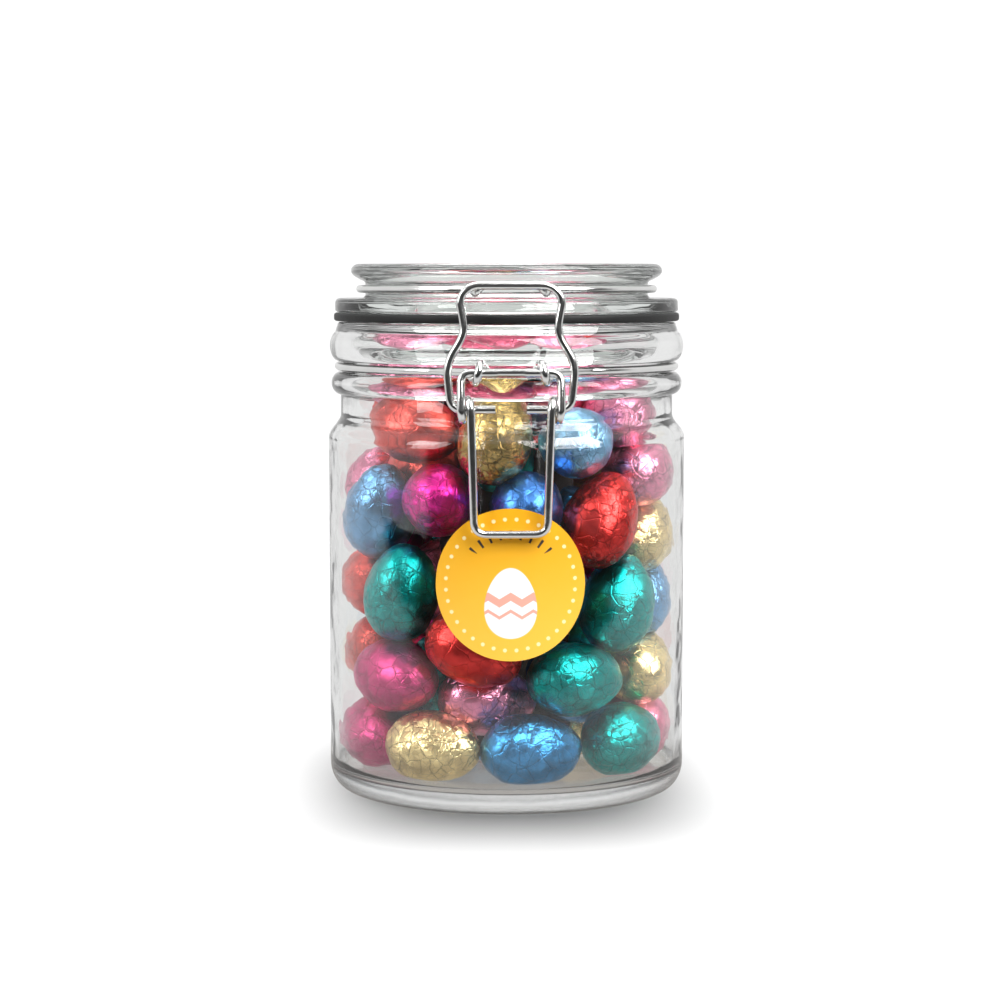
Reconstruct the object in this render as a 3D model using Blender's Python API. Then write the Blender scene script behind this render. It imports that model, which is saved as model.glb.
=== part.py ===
"""Clip-top glass jar, filled with foil-wrapped chocolate eggs.

+Z is up, the clasp faces -Y, and the origin is the centre of the jar's foot.
Lengths below are in millimetres; each mesh is scaled to metres as it is made.
"""
import math

import bmesh
import bpy
import numpy as np
from mathutils import Matrix, Vector

MM = 0.001
GAP = 0.3                     # air kept between separate pieces
SEGMENTS = 32                 # sides of the turned pieces

# Jar glass
BODY_R = 50.0
FOOT_W = 5.0                  # rounded lower edge, inwards and upwards
FOOT_H = 7.0
FLOOR_Z = 5.6                 # top of the thick glass base
INNER_R = 48.0
INNER_CORNER = 4.0
SHOULDER_Z = 99.0
INNER_SHOULDER_Z = 98.0
NECK_R = 46.6
NECK_Z = 105.3
INNER_NECK_R = 43.4
INNER_NECK_Z = 106.0
THROAT_Z = 127.0              # from here up the wall thickens to the mouth
BEAD_Z = 114.0                # the round bead under the neck wire
BEAD_OUT = 2.6
BEAD_HALF_H = 3.1
GROOVE_R = 45.7               # the groove that the neck wire lies in
GROOVE_HALF_H = 1.5
BAND_Z = 124.4                # the bulging band above it
BAND_R = 49.6
BAND_BULGE = 2.4
BAND_HALF_H = 4.2
RIM_Z = 131.0
RIM_R = 47.5
RIM_EDGE = 1.4                # rounding of the rim's inner edge
RIM_BEVEL = 0.8               # and of its outer edge
MOUTH_R = 40.0
MOUTH_Z = 129.5

# Lid glass
SEAL_H = 2.3                  # thickness of the squeezed rubber seal
SEAL_OUT_R = 48.4
SEAL_IN_R = 41.0
SEAL_EDGE = 0.6
FLANGE_R = 48.1
FLANGE_H = 3.8
FLANGE_EDGE = 0.6             # rounding under the flange, then the wider one on top
FLANGE_BEVEL = 1.5
LID_NECK_R = 39.6
LID_NECK_FILLET = 1.2
LID_NECK_TOP_Z = 142.6
LID_TOP_Z = 147.2
LID_RIM_R = 43.6
LID_RIM_W = 2.2               # half the width of the lid's round rim
LID_RIM_HALF_H = 1.9
DISH_EDGE_W = 5.0             # from the rim in to where the top falls, and on to its flat middle
DISH_FALL_W = 7.8
DISH_W = 11.6
PLUG_R = 37.5
PLUG_Z = 128.0
PLUG_EDGE = 1.1               # rounding of the plug's lower edge
PLUG_W = 2.9
HOLLOW_R = 33.4               # the hollow under the lid
HOLLOW_Z = 132.4
WEB_UNDER_Z = 139.2           # the lid's thinner middle
WEB_TOP_Z = 144.2

# Wire fittings
WIRE_R = 1.1
EYE_R = 2.7                   # eyes and coils, to the middle of the wire
EYE_X = 8.6                   # the neck wire's eyes, off the middle
EYE_PITCH = 2.6
EYE_LEAD = 1.0                # straight wire on both sides of an eye
PIVOT_Y = 53.7                # both pivots of the neck wire, front and back
PIVOT_Z = 118.7
NECK_WIRE_R = 47.2
LID_WIRE_R = 41.1
LID_WIRE_Z = 140.2
LID_RING_FROM = 2             # the ring's first point beside the lip, in steps of a turned piece
LIP_Y = -50.3                 # upturned lip at the front of the lid wire
LIP_X = 7.6
LIP_Z = 141.4
LIP_DIP = (9.2, -49.7, 139.4)       # the lip's legs dip below it, then run back to the ring
LIP_ROOT = (10.6, -39.7, LID_WIRE_Z)
LEG_ROOT_Y = 39.2             # where the hinge legs leave the ring
LINK_PIN_Y = -53.0            # where the link hangs in the lever's coils
LINK_PIN_Z = 109.0
LEG_X = 12.6                  # the hinge's legs at the back
ARM_X = 13.1                  # the lever's arms at the front
HANDLE_X = 10.5
HANDLE_LOW_X = 9.6            # the handle narrows towards its foot
HANDLE_Z = 76.2
HANDLE_Y = -52.3
PIN_END_X = 3.6
LINK_END_X = 4.1              # the link's inturned ends, then its widest place, waist and top
LINK_WIDE_X = 16.9
LINK_WIDE_Z = 121.0
LINK_WAIST_X = 11.9
LINK_WAIST_Z = 129.2
LINK_TOP_X = 13.6
LINK_ELBOW_X = 15.7           # the bend above each inturned end
LINK_CORNER = 3.2             # slant cut across the link's upper corners
WIRE_BEND = 3.4               # how far a bend starts from its corner, in the link and the handle
ARM_BEND = 2.8
RING_BEND = 2.4

# Round paper sticker
LABEL_R = 20.3
LABEL_Z = 62.6
LABEL_THICK = 0.25

# Chocolate eggs
EGG_HALF_LENGTH = 13.8
EGG_R = 9.9
EGG_BLUNT = 0.10              # how much fuller the blunt end is
EGG_PRESS = 0.8               # how far neighbours sink into each other
WALL_GAP = 0.6                # air between the eggs and the glass wall
FLOOR_GAP = 0.4
HEAP_TOP_Z = 126.6
EGG_COURSES = 6
COURSE_H = 17.8
BACK_TURNS = (132, 170, 208, 246)   # degrees round to the back eggs of a course
EGGS_INSIDE = 3               # of a course, round the middle
INSIDE_DEPTH = 21             # how far those lie in from the wall
COURSE_TURN = 9               # degrees that each course is turned to and fro
SETTLE_STEPS = 400
PUSH = 0.16                   # share of an overlap that one step takes away
SINK = 0.05                   # how far a step lets the eggs drop
HOLD = 0.25                   # how firmly the front eggs keep their places
CORE_R = 34.0                 # the plain middle of the heap
CORE_LOW_Z = 8.1
CORE_HIGH_Z = 109.0
SHOWN_R = 26.0                # eggs further out than this show, and so do those above the height
SHOWN_Z = 92.0

# The eggs seen at the front: degrees round from the middle, height, lean from level, depth in, and
# how far the egg is swung end-on
FRONT_EGGS = [
    (-77, 16.0, 0, 0, 0), (-32.5, 15.8, -4, 0, 0), (9, 15.7, 3, 0, 0), (57, 15.9, 8, 0, 0),
    (96, 15.9, 0, 0, 0), (-53.8, 33.8, -8, 0, 0), (-96, 37.5, 20, 1, 0), (-15.2, 43, -25, 1, 0),
    (-14, 27, 0, 9, 40), (28.5, 34.7, 0, 0, 0), (85, 35, 30, 0, 0), (-50.4, 57.5, 78, 0, 0),
    (52.3, 54.3, 70, 0, 0), (93, 54, 60, 0, 0), (4, 61.5, 10, 3, 0), (-68.5, 79.4, 72, 0, 0),
    (-33.5, 83.5, 10, 0, -57), (8.5, 81.5, 0, 3, 80), (41, 77.8, 65, 0, 0), (88, 72, 40, 0, 0),
    (-52, 101.5, -4, 2.5, 20), (-6, 101, 80, 2, 0), (37, 99.3, 8, 2.5, 60), (74, 104.5, 0, 0, 15),
    (80, 90.8, 10, 0, 0), (-74, 91, 20, 13, 0),
]

# The last few, heaped up in the neck
CROWN_EGGS = [
    (10, 117.0, 5, 20, 0), (82, 116.5, 12, 8, 20), (-76, 116.0, -10, 8, -20), (205, 117.0, 0, 12, 0),
    (140, 116.0, 15, 8, 30),
]


def arc(centre_r, centre_z, reach_r, reach_z, start, end, steps):
    """Profile points on an ellipse, from one angle to another, in degrees."""
    points = []
    for step in range(steps + 1):
        angle = math.radians(start + (end - start) * step / steps)
        points.append((centre_r + reach_r * math.cos(angle), centre_z + reach_z * math.sin(angle)))
    return points


def s_curve(low, high, steps):
    """Profile points that leave one upright run and join another smoothly."""
    points = []
    for step in range(steps + 1):
        part = step / steps
        ease = part * part * (3 - 2 * part)
        points.append((low[0] + (high[0] - low[0]) * ease, low[1] + (high[1] - low[1]) * part))
    return points


def rounded(corners, reach, steps=2):
    """A bent wire's path: each corner is replaced by a short curve."""
    points = [corners[0]]
    for before, corner, after in zip(corners, corners[1:], corners[2:]):
        back = before - corner
        ahead = after - corner
        bend = min(reach, back.length * 0.48, ahead.length * 0.48)
        start = corner + back.normalized() * bend
        end = corner + ahead.normalized() * bend
        for step in range(steps + 1):
            part = step / steps
            points.append(start * (1 - part) ** 2 + corner * (2 * part * (1 - part)) + end * part ** 2)
    points.append(corners[-1])
    return points


def round_axis(centre_y, centre_z, radius, angles, x_from, x_to):
    """Points of one turn of wire round a level pivot that lies along X."""
    points = []
    for index, angle in enumerate(angles):
        part = index / (len(angles) - 1)
        turn = math.radians(angle)
        points.append(Vector((x_from + (x_to - x_from) * part,
                              centre_y + radius * math.cos(turn),
                              centre_z + radius * math.sin(turn))))
    return points


def mirrored(points, axis):
    """The points in the opposite order, on the other side of X = 0 or Y = 0."""
    sign = Vector((-1, 1, 1)) if axis == "X" else Vector((1, -1, 1))
    return [point * sign for point in reversed(points)]


def material(name, colour, roughness, metallic, transmission=0.0):
    finish = bpy.data.materials.new(name)
    finish.use_nodes = True
    shader = finish.node_tree.nodes["Principled BSDF"]
    shader.inputs["Base Color"].default_value = (*colour, 1)
    shader.inputs["Roughness"].default_value = roughness
    shader.inputs["Metallic"].default_value = metallic
    shader.inputs["Transmission Weight"].default_value = transmission
    return finish


def add_object(name, data, finish):
    thing = bpy.data.objects.new(name, data)
    bpy.context.scene.collection.objects.link(thing)
    data.materials.append(finish)
    return thing


def mesh_object(name, bm, finish, smooth=True):
    """A scene object from a mesh made in millimetres."""
    bmesh.ops.recalc_face_normals(bm, faces=bm.faces)
    if bm.calc_volume(signed=True) < 0:
        bmesh.ops.reverse_faces(bm, faces=bm.faces)
    bmesh.ops.scale(bm, vec=Vector((MM, MM, MM)), verts=bm.verts)
    data = bpy.data.meshes.new(name)
    bm.to_mesh(data)
    bm.free()
    if smooth:
        data.shade_smooth()
        data.set_sharp_from_angle(angle=math.radians(40))
    return add_object(name, data, finish)


def spun(profile, segments=SEGMENTS):
    """A closed solid of revolution from a profile of (radius, height) points."""
    bm = bmesh.new()
    chain = [bm.verts.new((radius, 0, height)) for radius, height in profile]
    edges = [bm.edges.new(pair) for pair in zip(chain, chain[1:])]
    if profile[0][0] > 0:
        edges.append(bm.edges.new((chain[-1], chain[0])))
    bmesh.ops.spin(bm, geom=chain + edges, cent=(0, 0, 0), axis=(0, 0, 1), angle=math.tau,
                   steps=segments, use_merge=True)
    bmesh.ops.remove_doubles(bm, verts=bm.verts, dist=0.01)
    return bm


def wire_object(name, points, finish, closed=False):
    """A round wire bent along a path."""
    curve = bpy.data.curves.new(name, "CURVE")
    curve.dimensions = "3D"
    curve.bevel_depth = WIRE_R * MM
    curve.bevel_resolution = 1
    curve.render_resolution_u = 0
    curve.use_fill_caps = True
    spline = curve.splines.new("POLY")
    spline.points.add(len(points) - 1)
    for target, point in zip(spline.points, points):
        target.co = (*(point * MM), 1)
    spline.use_cyclic_u = closed
    return add_object(name, curve, finish)


def hang_on(pivot, things, name):
    """Parents pieces to an empty on their joint's axis, leaving them where they are."""
    holder = bpy.data.objects.new(name, None)
    holder.location = pivot * MM
    bpy.context.scene.collection.objects.link(holder)
    for thing in things:
        thing.data.transform(Matrix.Translation(-holder.location))
        thing.parent = holder
    return holder


def jar_glass(finish):
    foot = [(0, 0)] + arc(BODY_R - FOOT_W, FOOT_H, FOOT_W, FOOT_H, -90, 0, 4)
    shoulder = s_curve((BODY_R, SHOULDER_Z), (NECK_R, NECK_Z), 4)
    bead = arc(NECK_R, BEAD_Z, BEAD_OUT, BEAD_HALF_H, -90, 90, 4)
    groove = [(GROOVE_R, PIVOT_Z - GROOVE_HALF_H), (GROOVE_R, PIVOT_Z + GROOVE_HALF_H)]
    band = arc(BAND_R - BAND_BULGE, BAND_Z, BAND_BULGE, BAND_HALF_H, -75, 68, 4)
    rim = [(RIM_R, RIM_Z - RIM_BEVEL), (RIM_R - RIM_BEVEL, RIM_Z)]
    rim += arc(MOUTH_R + RIM_EDGE, RIM_Z - RIM_EDGE, RIM_EDGE, RIM_EDGE, 90, 180, 2)
    throat = s_curve((MOUTH_R, MOUTH_Z), (INNER_NECK_R, THROAT_Z), 3)
    inner_shoulder = s_curve((INNER_NECK_R, INNER_NECK_Z), (INNER_R, INNER_SHOULDER_Z), 4)
    inner_corner = arc(INNER_R - INNER_CORNER, FLOOR_Z + INNER_CORNER, INNER_CORNER, INNER_CORNER,
                       0, -90, 3)
    profile = foot + shoulder + bead + groove + band + rim + throat + inner_shoulder + inner_corner
    return mesh_object("jar_glass", spun(profile + [(0, FLOOR_Z)]), finish)


def lid_glass(finish):
    under = RIM_Z + 2 * GAP + SEAL_H
    flange_top = under + FLANGE_H
    hollow_corner = WEB_UNDER_Z - HOLLOW_Z
    hollow = [(0, WEB_UNDER_Z)] + arc(HOLLOW_R - hollow_corner, HOLLOW_Z, hollow_corner, hollow_corner,
                                      90, 0, 3)
    plug = [(PLUG_R - PLUG_W, PLUG_Z + PLUG_EDGE / 2), (PLUG_R - 1.5 * PLUG_EDGE, PLUG_Z),
            (PLUG_R, PLUG_Z + PLUG_EDGE)]
    flange = [(PLUG_R + 0.4, under), (FLANGE_R - FLANGE_EDGE, under), (FLANGE_R, under + FLANGE_EDGE)]
    flange += arc(FLANGE_R - FLANGE_BEVEL, flange_top - FLANGE_BEVEL, FLANGE_BEVEL, FLANGE_BEVEL, 0, 90, 2)
    neck = [(LID_NECK_R + LID_NECK_FILLET, flange_top + 0.05), (LID_NECK_R, flange_top + LID_NECK_FILLET),
            (LID_NECK_R, LID_NECK_TOP_Z - LID_NECK_FILLET), (LID_NECK_R + LID_NECK_FILLET, LID_NECK_TOP_Z)]
    rim = arc(LID_RIM_R - LID_RIM_W, LID_TOP_Z - LID_RIM_HALF_H, LID_RIM_W, LID_RIM_HALF_H, -60, 90, 4)
    dish = [(LID_RIM_R - DISH_EDGE_W, LID_TOP_Z), (LID_RIM_R - DISH_FALL_W, WEB_TOP_Z + 0.7),
            (LID_RIM_R - DISH_W, WEB_TOP_Z), (0, WEB_TOP_Z)]
    return mesh_object("lid_glass", spun(hollow + plug + flange + neck + rim + dish), finish)


def gasket(finish):
    low = RIM_Z + GAP
    high = low + SEAL_H
    profile = [(SEAL_IN_R, low), (SEAL_OUT_R - SEAL_EDGE, low), (SEAL_OUT_R, low + SEAL_EDGE),
               (SEAL_OUT_R, high - SEAL_EDGE), (SEAL_OUT_R - SEAL_EDGE, high), (SEAL_IN_R, high)]
    return mesh_object("gasket", spun(profile), finish)


def neck_ring(finish):
    """Ring in the jar's groove, with two eyes at the front and two at the back."""
    behind_y = -PIVOT_Y + EYE_R
    inner_x = EYE_X - EYE_PITCH / 2
    outer_x = EYE_X + EYE_PITCH / 2
    quarter = [Vector((inner_x - EYE_LEAD, behind_y, PIVOT_Z))]
    quarter += round_axis(-PIVOT_Y, PIVOT_Z, EYE_R, range(40, 321, 40), inner_x, outer_x)
    quarter.append(Vector((outer_x + EYE_LEAD + 0.2, behind_y + 0.1, PIVOT_Z)))
    step = 360 / SEGMENTS
    for angle in [2.35 * step] + [step * index for index in range(3, SEGMENTS // 4)]:
        turn = math.radians(angle)
        quarter.append(Vector((NECK_WIRE_R * math.sin(turn), -NECK_WIRE_R * math.cos(turn), PIVOT_Z)))
    side = quarter + [Vector((NECK_WIRE_R, 0, PIVOT_Z))] + mirrored(quarter, "Y")
    return wire_object("neck_ring", side + mirrored(side, "X"), finish, closed=True)


def lid_ring(finish):
    """Ring in the lid's groove: an upturned lip at the front, two hinge legs at the back."""
    lip = [Vector((0, LIP_Y, LIP_Z)), Vector((LIP_X, LIP_Y, LIP_Z)), Vector(LIP_DIP), Vector(LIP_ROOT)]
    step = 360 / SEGMENTS
    ring = []
    for index in range(LID_RING_FROM, SEGMENTS // 2 - 1):
        turn = math.radians(step * index)
        ring.append(Vector((LID_WIRE_R * math.sin(turn), -LID_WIRE_R * math.cos(turn), LID_WIRE_Z)))
    leg = [Vector((LEG_X, LEG_ROOT_Y, LID_WIRE_Z)), Vector((LEG_X, PIVOT_Y - 0.8, LID_WIRE_Z - 0.5)),
           Vector((LEG_X, PIVOT_Y, PIVOT_Z)), Vector((PIN_END_X, PIVOT_Y, PIVOT_Z))]
    front = rounded(lip + ring[:1], RING_BEND)
    back = rounded(ring[-1:] + leg, RING_BEND)
    half = front[1:-1] + ring + back[1:]
    return wire_object("lid_ring", mirrored(half, "X") + half, finish)


def lever(finish):
    """Handle bent from one wire, with a coil on each side for the link's ends."""
    coil = round_axis(LINK_PIN_Y, LINK_PIN_Z, EYE_R, range(180, 541, 40), ARM_X, HANDLE_X)
    arm = [Vector((PIN_END_X, -PIVOT_Y, PIVOT_Z)), Vector((ARM_X, -PIVOT_Y, PIVOT_Z)), coil[0]]
    handle = [coil[-1], Vector((HANDLE_LOW_X, HANDLE_Y, HANDLE_Z)), Vector((0, HANDLE_Y, HANDLE_Z))]
    half = rounded(arm, ARM_BEND, 3)[:-1] + coil + rounded(handle, WIRE_BEND, 3)[1:-1]
    return wire_object("lever", half + mirrored(half, "X"), finish)


def link(finish):
    """Waisted loop from the lever's coils up to the lid wire's lip."""
    top_y = LIP_Y - 2 * WIRE_R - GAP
    corners = [(LINK_END_X, LINK_PIN_Y, LINK_PIN_Z), (LINK_ELBOW_X, LINK_PIN_Y, LINK_PIN_Z),
               (LINK_WIDE_X, LINK_PIN_Y, LINK_WIDE_Z), (LINK_WAIST_X, top_y - 0.1, LINK_WAIST_Z),
               (LINK_TOP_X, top_y, LIP_Z - LINK_CORNER), (LINK_TOP_X - LINK_CORNER, top_y, LIP_Z),
               (0, top_y, LIP_Z)]
    path = rounded([Vector(corner) for corner in corners], WIRE_BEND)[:-1]
    return wire_object("link", path + mirrored(path, "X"), finish)


def label(finish):
    """Thin round sticker that follows the body's curve."""
    bm = bmesh.new()
    bmesh.ops.create_circle(bm, cap_ends=True, segments=24, radius=LABEL_R)
    middle = bm.faces[:]
    for ring in range(2):
        bmesh.ops.inset_individual(bm, faces=middle, thickness=LABEL_R / 3)
    bmesh.ops.poke(bm, faces=[face for face in bm.faces if len(face.verts) > 4])
    sheet = bmesh.ops.solidify(bm, geom=bm.faces[:], thickness=LABEL_THICK)
    for vert in bm.verts:
        radius = BODY_R + GAP + (0 if abs(vert.co.z) < LABEL_THICK / 2 else LABEL_THICK)
        turn = vert.co.x / BODY_R
        vert.co = Vector((radius * math.sin(turn), -radius * math.cos(turn), LABEL_Z + vert.co.y))
    return mesh_object("label", bm, finish)


def wall_reach(height):
    """Inner radius of the jar at a height, for an array of heights."""
    part = np.clip((height - INNER_SHOULDER_Z) / (INNER_NECK_Z - INNER_SHOULDER_Z), 0, 1)
    return INNER_R + (INNER_NECK_R - INNER_R) * part * part * (3 - 2 * part)


def egg_start(turn, height, lean, depth, swing=0):
    """The two ends of an egg's inner axis, for an egg lying against the wall."""
    turn, lean, swing = (math.radians(angle) for angle in (turn, lean, swing))
    reach = EGG_HALF_LENGTH - EGG_R
    radius = wall_reach(height) - EGG_R - WALL_GAP - depth - reach * abs(math.sin(swing))
    middle = np.array([radius * math.sin(turn), -radius * math.cos(turn), height])
    level = math.cos(lean)
    along = np.array([math.cos(turn + swing) * level, math.sin(turn + swing) * level, math.sin(lean)])
    return np.array([middle - along * reach, middle + along * reach])


def egg_places():
    """Settles the eggs: each is two round ends a fixed length apart, pushed off its neighbours."""
    rng = np.random.default_rng(7)
    ends = [egg_start(*egg) for egg in FRONT_EGGS]
    held = len(ends)
    for course in range(EGG_COURSES):
        height = FLOOR_Z + EGG_R + course * COURSE_H
        for turn in BACK_TURNS:
            turn += COURSE_TURN * (-1) ** course + rng.uniform(-5, 5)
            ends.append(egg_start(turn, height + rng.uniform(-2, 2), rng.uniform(-70, 70), 0))
        for index in range(EGGS_INSIDE):
            turn = 360 / EGGS_INSIDE * index + 50 * course + rng.uniform(-10, 10)
            ends.append(egg_start(turn, height + rng.uniform(-2, 2), rng.uniform(-60, 60), INSIDE_DEPTH))
    ends += [egg_start(*egg) for egg in CROWN_EGGS]
    ends = np.array(ends)
    anchor = ends[:held].copy()
    reach = EGG_HALF_LENGTH - EGG_R
    near = 2 * EGG_R - EGG_PRESS
    for step in range(SETTLE_STEPS):
        middle = ends.mean(axis=1, keepdims=True)
        balls = np.concatenate([ends[:, :1], middle, ends[:, 1:]], axis=1).reshape(-1, 3)
        owner = np.repeat(np.arange(len(ends)), 3)
        apart = balls[:, None] - balls[None]
        far = np.linalg.norm(apart, axis=2) + 1e-6
        overlap = np.clip(near - far, 0, None) * (owner[:, None] != owner[None])
        push = (apart / far[..., None] * overlap[..., None]).sum(axis=1) * PUSH
        push = push.reshape(-1, 3, 3)
        ends[:, 0] += push[:, 0] + push[:, 1] * 0.5
        ends[:, 1] += push[:, 2] + push[:, 1] * 0.5
        ends[..., 2] -= SINK * (step < SETTLE_STEPS / 2)
        ends[:held] += (anchor - ends[:held]) * HOLD
        out = np.hypot(ends[..., 0], ends[..., 1])
        limit = wall_reach(ends[..., 2] + EGG_R * 0.5) - EGG_R - WALL_GAP
        ends[..., :2] *= np.minimum(1, limit / out)[..., None]
        ends[..., 2] = np.clip(ends[..., 2], FLOOR_Z + EGG_R + FLOOR_GAP, HEAP_TOP_Z - EGG_R)
        middle = ends.mean(axis=1)
        along = ends[:, 1] - ends[:, 0]
        along *= reach / np.linalg.norm(along, axis=1)[:, None]
        ends = np.stack([middle - along, middle + along], axis=1)
    return ends


def egg_object(name, start, end, finish):
    bm = bmesh.new()
    bmesh.ops.create_uvsphere(bm, u_segments=8, v_segments=6, radius=1)
    for vert in bm.verts:
        fuller = 1 - EGG_BLUNT * vert.co.z
        across = EGG_R * fuller
        vert.co = Vector((vert.co.x * across, vert.co.y * across, vert.co.z * EGG_HALF_LENGTH))
    along = Vector(end - start)
    place = Matrix.Translation(Vector((start + end) / 2)) @ along.to_track_quat("Z", "Y").to_matrix().to_4x4()
    bmesh.ops.transform(bm, matrix=place, verts=bm.verts)
    return mesh_object(name, bm, finish, smooth=False)


def egg_shows(start, end):
    """Whether an egg reaches the outside or the top of the heap."""
    middle = (start + end) / 2
    return math.hypot(middle[0], middle[1]) > SHOWN_R or middle[2] > SHOWN_Z


def drop_scraps(thing):
    """Keeps the outer skin of the heap: pockets sealed by the union are filled."""
    bm = bmesh.new()
    bm.from_mesh(thing.data)
    unseen = set(bm.faces)
    shells = []
    while unseen:
        stack = [unseen.pop()]
        shell = set(stack)
        while stack:
            for edge in stack.pop().edges:
                for face in edge.link_faces:
                    if face in unseen:
                        unseen.remove(face)
                        shell.add(face)
                        stack.append(face)
        shells.append(shell)
    outer = max(shells, key=len)
    bmesh.ops.delete(bm, geom=[face for face in bm.faces if face not in outer], context="FACES")
    bmesh.ops.triangulate(bm, faces=bm.faces)
    bm.to_mesh(thing.data)
    bm.free()


def eggs(finish):
    """The heap: a plain core with every egg that shows fused on."""
    core_profile = [(0, CORE_LOW_Z), (CORE_R - 5, CORE_LOW_Z), (CORE_R, CORE_LOW_Z + 5),
                    (CORE_R, CORE_HIGH_Z - 12), (CORE_R - 9, CORE_HIGH_Z - 2), (0, CORE_HIGH_Z)]
    heap = mesh_object("eggs", spun(core_profile, 12), finish, smooth=False)
    pile = bpy.data.collections.new("pile")
    bpy.context.scene.collection.children.link(pile)
    for index, (start, end) in enumerate(egg_places()):
        if egg_shows(start, end):
            egg = egg_object("egg.%03d" % index, start, end, finish)
            bpy.context.scene.collection.objects.unlink(egg)
            pile.objects.link(egg)
    union = heap.modifiers.new("fuse", "BOOLEAN")
    union.operation = "UNION"
    union.operand_type = "COLLECTION"
    union.collection = pile
    union.solver = "MANIFOLD"
    bpy.ops.object.select_all(action="DESELECT")
    bpy.context.view_layer.objects.active = heap
    heap.select_set(True)
    bpy.ops.object.modifier_apply(modifier=union.name)
    for egg in list(pile.objects):
        bpy.data.objects.remove(egg)
    bpy.data.collections.remove(pile)
    drop_scraps(heap)
    return heap


def main():
    for thing in list(bpy.data.objects):
        bpy.data.objects.remove(thing)
    glass = material("clear_glass", (0.93, 0.97, 0.95), 0.03, 0.0, transmission=1.0)
    lid_finish = material("clear_lid_glass", (0.93, 0.97, 0.95), 0.03, 0.0, transmission=1.0)
    jar_glass(glass)
    eggs(material("egg_foil", (0.62, 0.10, 0.20), 0.25, 1.0))
    label(material("sticker_paper", (0.97, 0.58, 0.10), 0.45, 0.0))
    neck_ring(material("neck_wire_steel", (0.72, 0.72, 0.71), 0.25, 1.0))
    lid_pieces = [lid_glass(lid_finish),
                  gasket(material("black_rubber", (0.02, 0.02, 0.02), 0.6, 0.0)),
                  lid_ring(material("lid_wire_steel", (0.72, 0.72, 0.71), 0.25, 1.0))]
    handle = lever(material("lever_steel", (0.72, 0.72, 0.71), 0.22, 1.0))
    loop = link(material("link_steel", (0.72, 0.72, 0.71), 0.22, 1.0))
    hang_on(Vector((0, PIVOT_Y, PIVOT_Z)), lid_pieces, "lid_hinge_axis")
    hang_on(Vector((0, -PIVOT_Y, PIVOT_Z)), [handle], "lever_axis")
    hang_on(Vector((0, LINK_PIN_Y, LINK_PIN_Z)), [loop], "link_axis")


main()
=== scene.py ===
import math

import bpy
import numpy as np
from mathutils import Matrix, Vector, noise


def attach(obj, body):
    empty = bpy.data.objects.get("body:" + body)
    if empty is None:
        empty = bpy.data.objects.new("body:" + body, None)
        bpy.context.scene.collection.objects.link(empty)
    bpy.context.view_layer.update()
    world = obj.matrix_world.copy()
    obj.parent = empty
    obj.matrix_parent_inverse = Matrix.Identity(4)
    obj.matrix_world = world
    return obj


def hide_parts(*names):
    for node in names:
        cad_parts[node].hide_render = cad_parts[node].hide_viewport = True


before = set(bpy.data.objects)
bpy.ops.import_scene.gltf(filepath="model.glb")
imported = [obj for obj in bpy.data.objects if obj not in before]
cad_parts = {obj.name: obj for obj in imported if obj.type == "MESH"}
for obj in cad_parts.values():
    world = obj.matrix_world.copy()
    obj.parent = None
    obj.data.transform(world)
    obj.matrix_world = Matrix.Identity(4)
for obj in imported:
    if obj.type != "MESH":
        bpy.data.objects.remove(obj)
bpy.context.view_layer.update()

mm = 0.001

# where the camera stood: metres from the jar's axis and above the table, degrees round to the left,
# and which way its lens pointed from there
photo = {
    "distance": 0.720, "height": 0.1454, "leftward": 1.28, "lookDown": 5.14, "lookAside": 0.146,
    "lens": 91.98, "sensor": 36, "nearest": 0.01, "furthest": 50,
}

print("stage: camera")


def makeCamera():
    turn = math.radians(photo["leftward"])
    away = photo["distance"]
    place = (-away * math.sin(turn), -away * math.cos(turn), photo["height"])
    aside = math.radians(photo["lookAside"]) - turn
    look = (math.radians(90 - photo["lookDown"]), 0, aside)
    bpy.ops.object.camera_add(location=place, rotation=look)
    camera = bpy.context.object
    camera.name = "photoCamera"
    camera.data.lens = photo["lens"]
    camera.data.sensor_width = photo["sensor"]
    camera.data.clip_start = photo["nearest"]
    camera.data.clip_end = photo["furthest"]
    bpy.context.scene.camera = camera


makeCamera()


# small helpers for modelling with the edit mode's own operators

def deselectAll():
    if bpy.context.mode != "OBJECT":
        bpy.ops.object.mode_set(mode="OBJECT")
    bpy.ops.object.select_all(action="DESELECT")


def focusOn(piece):
    deselectAll()
    piece.select_set(True)
    bpy.context.view_layer.objects.active = piece


def settle(piece, smoothAngle=40):
    # place goes into the mesh, faces shade smooth
    focusOn(piece)
    bpy.ops.object.transform_apply(location=True, rotation=True, scale=True)
    bpy.ops.object.shade_smooth_by_angle(angle=math.radians(smoothAngle))
    return piece


def dress(piece, material):
    piece.data.materials.clear()
    piece.data.materials.append(material)
    return piece


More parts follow.
